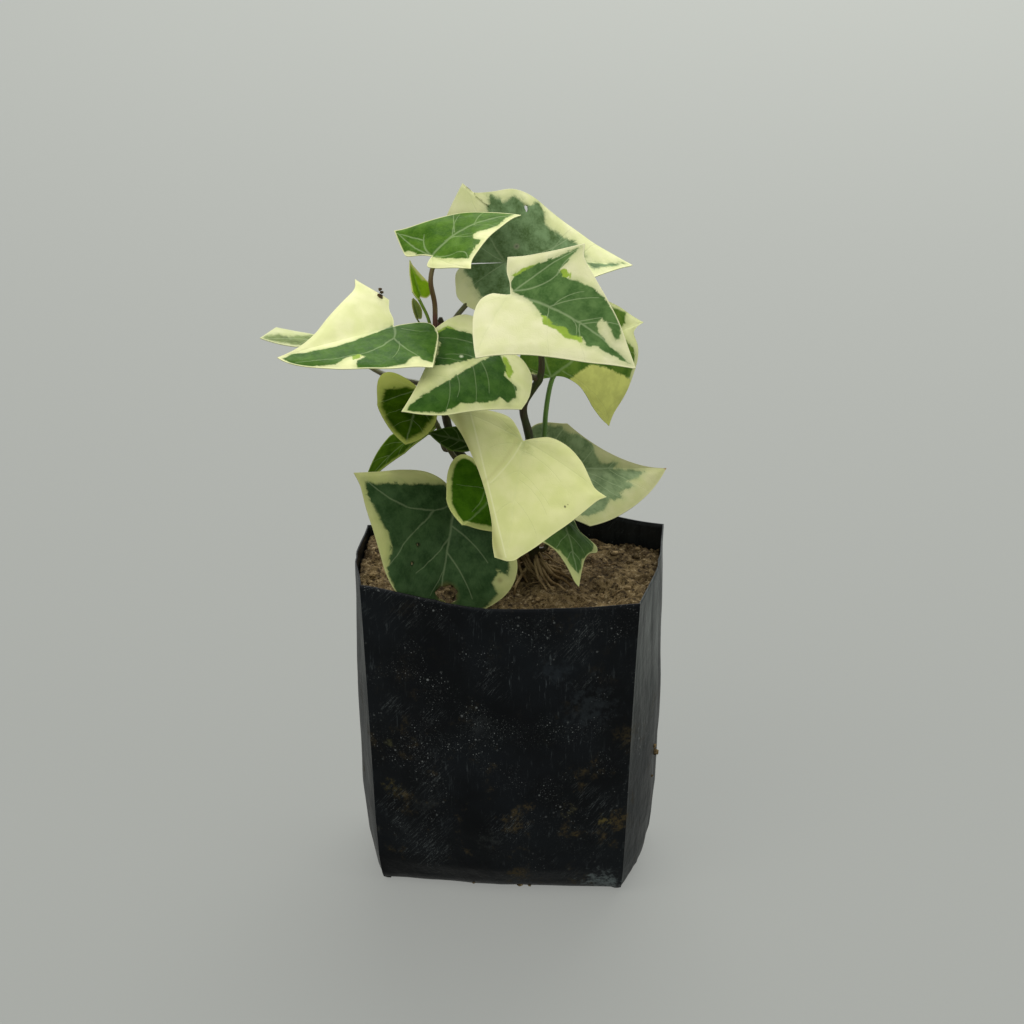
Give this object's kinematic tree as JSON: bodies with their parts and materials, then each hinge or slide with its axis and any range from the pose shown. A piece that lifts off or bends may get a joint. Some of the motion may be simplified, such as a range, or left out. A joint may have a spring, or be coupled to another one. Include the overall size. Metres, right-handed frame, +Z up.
{
  "type": "potted ivy",
  "caption": "Small climbing ivy with lobed, waxy leaves on thin stems, rooted in soil in an open gusseted nursery bag.",
  "frame": {"origin": "on the floor under the middle of the bag's flat base", "axes": "+Z up, along the plant's height; -Y towards the bag's front panel; +X to the right as seen from the front"},
  "size_m": [0.1385, 0.0987, 0.2448],
  "materials": {
    "bag_film": "satin",
    "soil": "matte",
    "stem": "satin",
    "leaf": "satin",
    "leaf_cream": "satin"
  },
  "bodies": {
    "root": {"bag": "bag_film", "soil": "soil", "stem_left": "stem", "stem_right": "stem", "leaf_top_front": "leaf", "leaf_top_back": "leaf", "leaf_front_top": "leaf", "leaf_left": "leaf", "leaf_centre": "leaf", "leaf_front_cream": "leaf_cream", "leaf_low_dark": "leaf", "leaf_low_round": "leaf", "leaf_right": "leaf", "leaf_right_small": "leaf", "leaf_left_behind": "leaf", "leaf_left_edge": "leaf", "leaf_far_left": "leaf", "leaf_behind_top": "leaf", "leaf_small_dark": "leaf", "leaf_young": "leaf", "leaf_bud": "leaf"}
  },
  "joints": []
}
